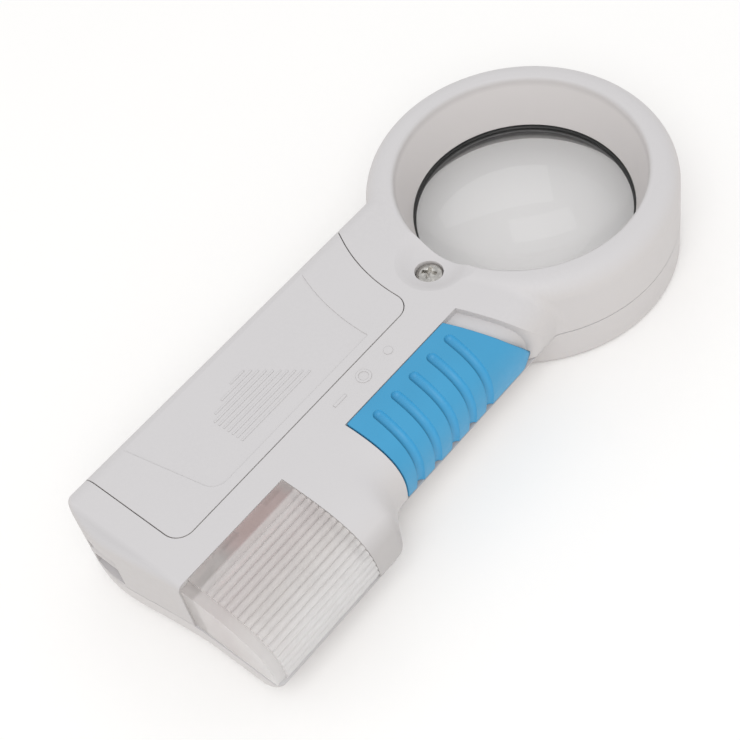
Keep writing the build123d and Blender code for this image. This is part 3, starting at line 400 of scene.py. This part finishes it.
def make_board():
    k = Mat("board_green").set(spec=0.5, coat=0.2)
    tr = k.voronoi(420, "DISTANCE_TO_EDGE", k.coords((1.0, 1.6, 1.0)))
    lines = k.maprange(tr, 0.04, 0.07, 1, 0)
    c = (0.016, 0.135, 0.050)
    col = k.mix(lines, tint(c, 1.0), (0.035, 0.21, 0.085))
    k.color(k.mix(k.maprange(k.noise(600, 3, 0.5), 0.3, 0.7, 0, 0.3), col, tint(c, 0.8)))
    k.rough(k.maprange(k.noise(900, 3, 0.6), 0.3, 0.7, 0.28, 0.40))
    k.bump(lines, 0.25, 0.00004)
    return k.m


def make_chrome():
    k = Mat("screw_plate").set(metal=1.0)
    c = (0.60, 0.585, 0.56)
    k.color(k.mix(k.maprange(k.noise(1300, 4, 0.6), 0.35, 0.65, 0, 1), tint(c, 0.72), tint(c, 1.12)))
    k.rough(k.maprange(k.noise(2400, 3, 0.6), 0.3, 0.7, 0.16, 0.34))
    k.bump(k.noise(900, 3, 0.6), 0.35, 0.00012)
    return k.m


M = {
    "abs": make_abs(),
    "abs_lens_well_shade": make_abs("shell_abs_lens_well_shade", shade_under_lens=True),
    "blue": make_blue(),
    "window": make_window(),
    "pane": make_clear("lamp_pane", 0.12, (0.97, 0.97, 0.97), 1.49, 0.05, (0.94, 0.94, 0.94)),
    "lens": make_clear("lens_acrylic", 0.012, (0.965, 0.963, 0.97), 1.49, 0.0, (0.95, 0.95, 0.95), edge=True),
    "black": make_plain("gasket_black", (0.075, 0.073, 0.073), 0.5),
    "ring": make_ring(),
    "steel": make_plain("steel_nickel", (0.62, 0.60, 0.57), 0.28, 900, 0.12, 1.0),
    "chrome": make_chrome(),
    "board": make_board(),
    "board_white": make_plain("board_white", (0.78, 0.78, 0.76), 0.3, 700, 0.03, 0.0, 0.15, 1800),
    "brass": make_plain("tin_brass", (0.65, 0.52, 0.27), 0.35, 900, 0.12, 1.0),
    "lamp": make_clear("lamp_epoxy", 0.08, (0.98, 0.98, 0.95), 1.53),
    "white": make_plain("reflector_white", (0.86, 0.86, 0.85), 0.28, 400, 0.02),
    "cell_l": make_cell("cell_film_left", -44.0, 1),
    "cell_r": make_cell("cell_film_right", -92.5, -1),
    "resistor": make_resistor(),
    "red": make_plain("lead_red", (0.55, 0.03, 0.035), 0.4),
    "dark": make_plain("lead_black", (0.015, 0.015, 0.016), 0.4),
    "tin": make_plain("solder_tin", (0.70, 0.69, 0.67), 0.25, 1500, 0.12, 1.0, 0.3, 2500),
    "phosphor": make_plain("lamp_phosphor", (0.80, 0.66, 0.12), 0.5, 1500, 0.1),
    "lens_edge_shade": make_plain("lens_edge_painted_shade", (0.36, 0.36, 0.36), 0.7, 1200, 0.1),
}
USE = {
    "top_shell": "abs", "bottom_shell": "abs_lens_well_shade", "battery_door": "abs", "slide_button": "blue", "lens": "lens",
    "lens_gasket": "black", "lens_retaining_ring": "ring", "switch_lever": "dark", "switch_body": "steel",
    "switch_terminals": "brass", "circuit_board": "board", "current_resistors": "resistor", "board_screws": "steel",
    "head_led_board": "board", "head_leds": "lamp", "head_led_windows": "pane", "tail_lamp_board": "board_white",
    "tail_lamp_leds": "lamp", "tail_lamp_reflector": "white", "tail_lamp_window": "window",
    "battery_cell_left": "cell_l", "battery_cell_right": "cell_r", "battery_positive_contact": "steel",
    "battery_negative_contact": "steel", "battery_link_contact": "steel", "battery_springs": "steel",
    "battery_lead_red": "red", "battery_lead_black": "dark", "head_lamp_lead_red": "red",
    "head_lamp_lead_black": "dark", "tail_lamp_lead_red": "red", "tail_lamp_lead_black": "dark",
    "head_screw": "chrome", "housing_screws": "steel",
}
for n, o in NODES.items():
    o.data.materials.clear()
    o.data.materials.append(M[USE[n]])

# ---------------------------------------------------------------- extra pieces
def mesh_object(name, bm, mat, body="housing", sharp=math.radians(35)):
    """A smooth-shaded piece with sharp edges where its faces turn more than that angle."""
    bmesh.ops.recalc_face_normals(bm, faces=bm.faces)
    for f in bm.faces:
        f.smooth = True
    for e in bm.edges:
        if len(e.link_faces) == 2 and e.calc_face_angle(0.0) > sharp:
            e.smooth = False
    me = bpy.data.meshes.new(name)
    bm.to_mesh(me)
    bm.free()
    o = bpy.data.objects.new(name, me)
    scene.collection.objects.link(o)
    if mat is not None:
        me.materials.append(mat)
    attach(o, body)
    return o


def add_revolved(bm, profile, n, origin, axis, closed=True):
    """Adds the surface of revolution of (r, h) points about axis from origin, in mm."""
    w = Vector(axis).normalized()
    u = w.orthogonal().normalized()
    v = w.cross(u)
    rings = []
    for r, h in profile:
        if r < 1e-6:
            rings.append([bm.verts.new(origin + w * h * MM)])
        else:
            rings.append([bm.verts.new(origin + (u * math.cos(2 * math.pi * i / n) * r + v * math.sin(2 * math.pi * i / n) * r + w * h) * MM)
                          for i in range(n)])
    m = len(rings)
    for k in range(m if closed else m - 1):
        a, b = rings[k], rings[(k + 1) % m]
        for i in range(n):
            j = (i + 1) % n
            if len(a) == 1 and len(b) == 1:
                break
            if len(a) == 1:
                bm.faces.new((a[0], b[i], b[j]))
            elif len(b) == 1:
                bm.faces.new((a[i], a[j], b[0]))
            else:
                bm.faces.new((a[i], a[j], b[j], b[i]))


def add_tube(bm, pts, r, n=10):
    """Adds a closed round tube through the points, in metres, radius in mm."""
    rings = []
    for i, p in enumerate(pts):
        t = (pts[min(i + 1, len(pts) - 1)] - pts[max(i - 1, 0)]).normalized()
        u = t.orthogonal().normalized() if i == 0 else (u - t * u.dot(t)).normalized()
        v = t.cross(u)
        rings.append([bm.verts.new(p + (u * math.cos(2 * math.pi * k / n) + v * math.sin(2 * math.pi * k / n)) * r * MM) for k in range(n)])
    for a, b in zip(rings, rings[1:]):
        for k in range(n):
            bm.faces.new((a[k], a[(k + 1) % n], b[(k + 1) % n], b[k]))
    bm.faces.new(rings[0][::-1])
    bm.faces.new(rings[-1])


# the lens, finely faceted; its edge faces get a flat grey, painted shade standing in for the dark holder seen through
# the rim
LENS_LO, LENS_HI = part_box("lens")
LENS_R = (LENS_HI.x - LENS_LO.x) / 2 / MM
z_mid = (LENS_LO.z + LENS_HI.z) / 2 / MM
half_t = (LENS_HI.z - LENS_LO.z) / 2 / MM
EDGE_H, BULGE = 1.1, half_t - 1.1
SPH = (LENS_R ** 2 + BULGE ** 2) / (2 * BULGE)
prof = []
for i in range(33):
    r = (LENS_R - 0.12) * i / 32
    prof.append((r, half_t - (SPH - math.sqrt(SPH * SPH - r * r))))
prof += [(LENS_R, EDGE_H - 0.13), (LENS_R, 0.0), (LENS_R, -(EDGE_H - 0.13))]
prof += [(r, -h) for r, h in prof[:33][::-1]]
bm = bmesh.new()
add_revolved(bm, prof, 240, LENS_C.copy(), (0, 0, 1), closed=False)
lens_obj = mesh_object("lens_polished", bm, M["lens"])
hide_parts("lens")
# painted shade: the grey material goes on the lens edge faces
lens_obj.data.materials.append(M["lens_edge_shade"])
for f in lens_obj.data.polygons:
    c = f.center - LENS_C
    if math.hypot(c.x, c.y) > (LENS_R - 0.14) * MM:
        f.material_index = 1


# tinned joints on the boards, where leads, pins and resistor ends are soldered
def solder(name, spots, z, r=0.85):
    bm = bmesh.new()
    for i, (x, y) in enumerate(spots):
        k = 1.0 + 0.12 * math.sin(i * 2.3)
        add_revolved(bm, [(0.0, 0.0), (r * k, 0.0), (r * 0.94 * k, 0.06), (r * 0.62 * k, 0.17), (r * 0.42 * k, 0.38), (r * 0.25 * k, 0.55), (0.0, 0.60)],
                     20, L(x, y, z), (0.04 * math.sin(i), 0.05 * math.cos(i), 1.0), closed=False)
    return mesh_object(name, bm, M["tin"], sharp=math.radians(60))


solder("board_joints", [(12.6, -43.4), (14.1, -45.6), (12.4, -64.6), (18.35, -60.4), (11.85, -58.1), (16.85, -58.1), (11.85, -60.2), (16.85, -60.2)], 11.08)
solder("lamp_board_joints", [(8.0, -35.8), (5.6, -36.2), (-9.0, -35.4), (9.9, -35.0)], 13.18, 0.75)


def lamp_insides(name, base, d, side, k, start):
    """Lead frame inside a lamp: a post with the chip's cup, a post with an anvil, and the thin wire between."""
    bm = bmesh.new()
    d, side = Vector(d).normalized(), Vector(side).normalized()
    pa, pb = base + side * (-0.42 * k * MM), base + side * (0.55 * k * MM)
    add_revolved(bm, [(0.0, 0.0), (0.30 * k, 0.0), (0.42 * k, 0.30 * k), (0.52 * k, 0.62 * k), (0.46 * k, 0.62 * k), (0.22 * k, 0.22 * k), (0.0, 0.20 * k)],
                 20, pa + d * (1.55 * k * MM), d, closed=False)
    add_tube(bm, [pa + d * (h * k * MM) for h in (start, 0.7, 1.2, 1.56)], 0.17 * k)
    add_tube(bm, [pb + d * (start * k * MM), pb + d * (0.9 * k * MM), pb + d * (1.5 * k * MM) - side * (0.06 * k * MM), pb + d * (2.05 * k * MM) - side * (0.22 * k * MM)], 0.19 * k)
    top = pb + d * (2.05 * k * MM) - side * (0.22 * k * MM)
    tip = pa + d * (1.84 * k * MM)
    add_tube(bm, [top, top.lerp(tip, 0.3) + d * (0.28 * k * MM), top.lerp(tip, 0.7) + d * (0.22 * k * MM), tip], 0.03 * k, 6)
    o = mesh_object(name, bm, M["tin"], sharp=math.radians(45))
    bm = bmesh.new()
    add_revolved(bm, [(0.0, 0.0), (0.30 * k, 0.0), (0.44 * k, 0.26 * k), (0.38 * k, 0.34 * k), (0.2 * k, 0.40 * k), (0.0, 0.42 * k)],
                 20, pa + d * (1.78 * k * MM), d, closed=False)
    mesh_object(name + "_phosphor", bm, M["phosphor"])
    return o


for sx, tag in ((-1, "left"), (1, "right")):
    lamp_insides("head_lamp_frame_" + tag, L(sx * 9.6, -31.6, 9.6), (-sx * 0.12, 0.58, -0.80), (1, 0, 0), 0.95, 0.45)
for y, tag in ((-89.4, "head"), (-96.8, "tail")):
    lamp_insides("tail_lamp_frame_" + tag, L(19.0, y, 8.9), (0, 0, 1), (0, 1, 0), 1.55, 0.2)

# ---------------------------------------------------------------- stage
def plane(name, size, z):
    me = bpy.data.meshes.new(name)
    s = size / 2
    me.from_pydata([(-s, -s, z), (s, -s, z), (s, s, z), (-s, s, z)], [], [(0, 1, 2, 3)])
    o = bpy.data.objects.new(name, me)
    scene.collection.objects.link(o)
    return o


floor = plane("floor", 6.0, -0.0001)
fm = Mat("floor_paper").set(rough=0.9, spec=0.05)
fm.color(fm.mix(fm.noise(30, 3, 0.5), (0.988, 0.980, 0.970), (0.997, 0.990, 0.980)))
floor.data.materials.append(fm.m)

world = bpy.data.worlds.new("world")
scene.world = world
world.use_nodes = True
bg = world.node_tree.nodes["Background"]
bg.inputs["Color"].default_value = (1.0, 1.0, 1.0, 1.0)
bg.inputs["Strength"].default_value = 0.795


def area(name, pos, target, size, power, color=(1, 1, 1)):
    d = bpy.data.lights.new(name, "AREA")
    d.shape = "DISK"
    d.size = size
    d.energy = power
    d.color = color
    o = bpy.data.objects.new(name, d)
    scene.collection.objects.link(o)
    o.location = pos
    o.rotation_mode = "QUATERNION"
    o.rotation_quaternion = (Vector(target) - Vector(pos)).to_track_quat("-Z", "Y")
    return o


tgt = L(-2, -40, 5)
ka, ke, kd = math.radians(-50), math.radians(55), 1.2
area("key", tgt + Vector((math.cos(ka) * math.cos(ke), math.sin(ka) * math.cos(ke), math.sin(ke))) * kd, tgt, 1.0, 4.6)
sa, se, sd = math.radians(140), math.radians(41), 1.2
back_box = area("back_box", L(0, 0, 10) + Vector((math.cos(sa) * math.cos(se), math.sin(sa) * math.cos(se), math.sin(se))) * sd, L(0, 0, 10), 0.5, 0.34)
back_box.data.shape = "RECTANGLE"
back_box.data.size_y = 0.36
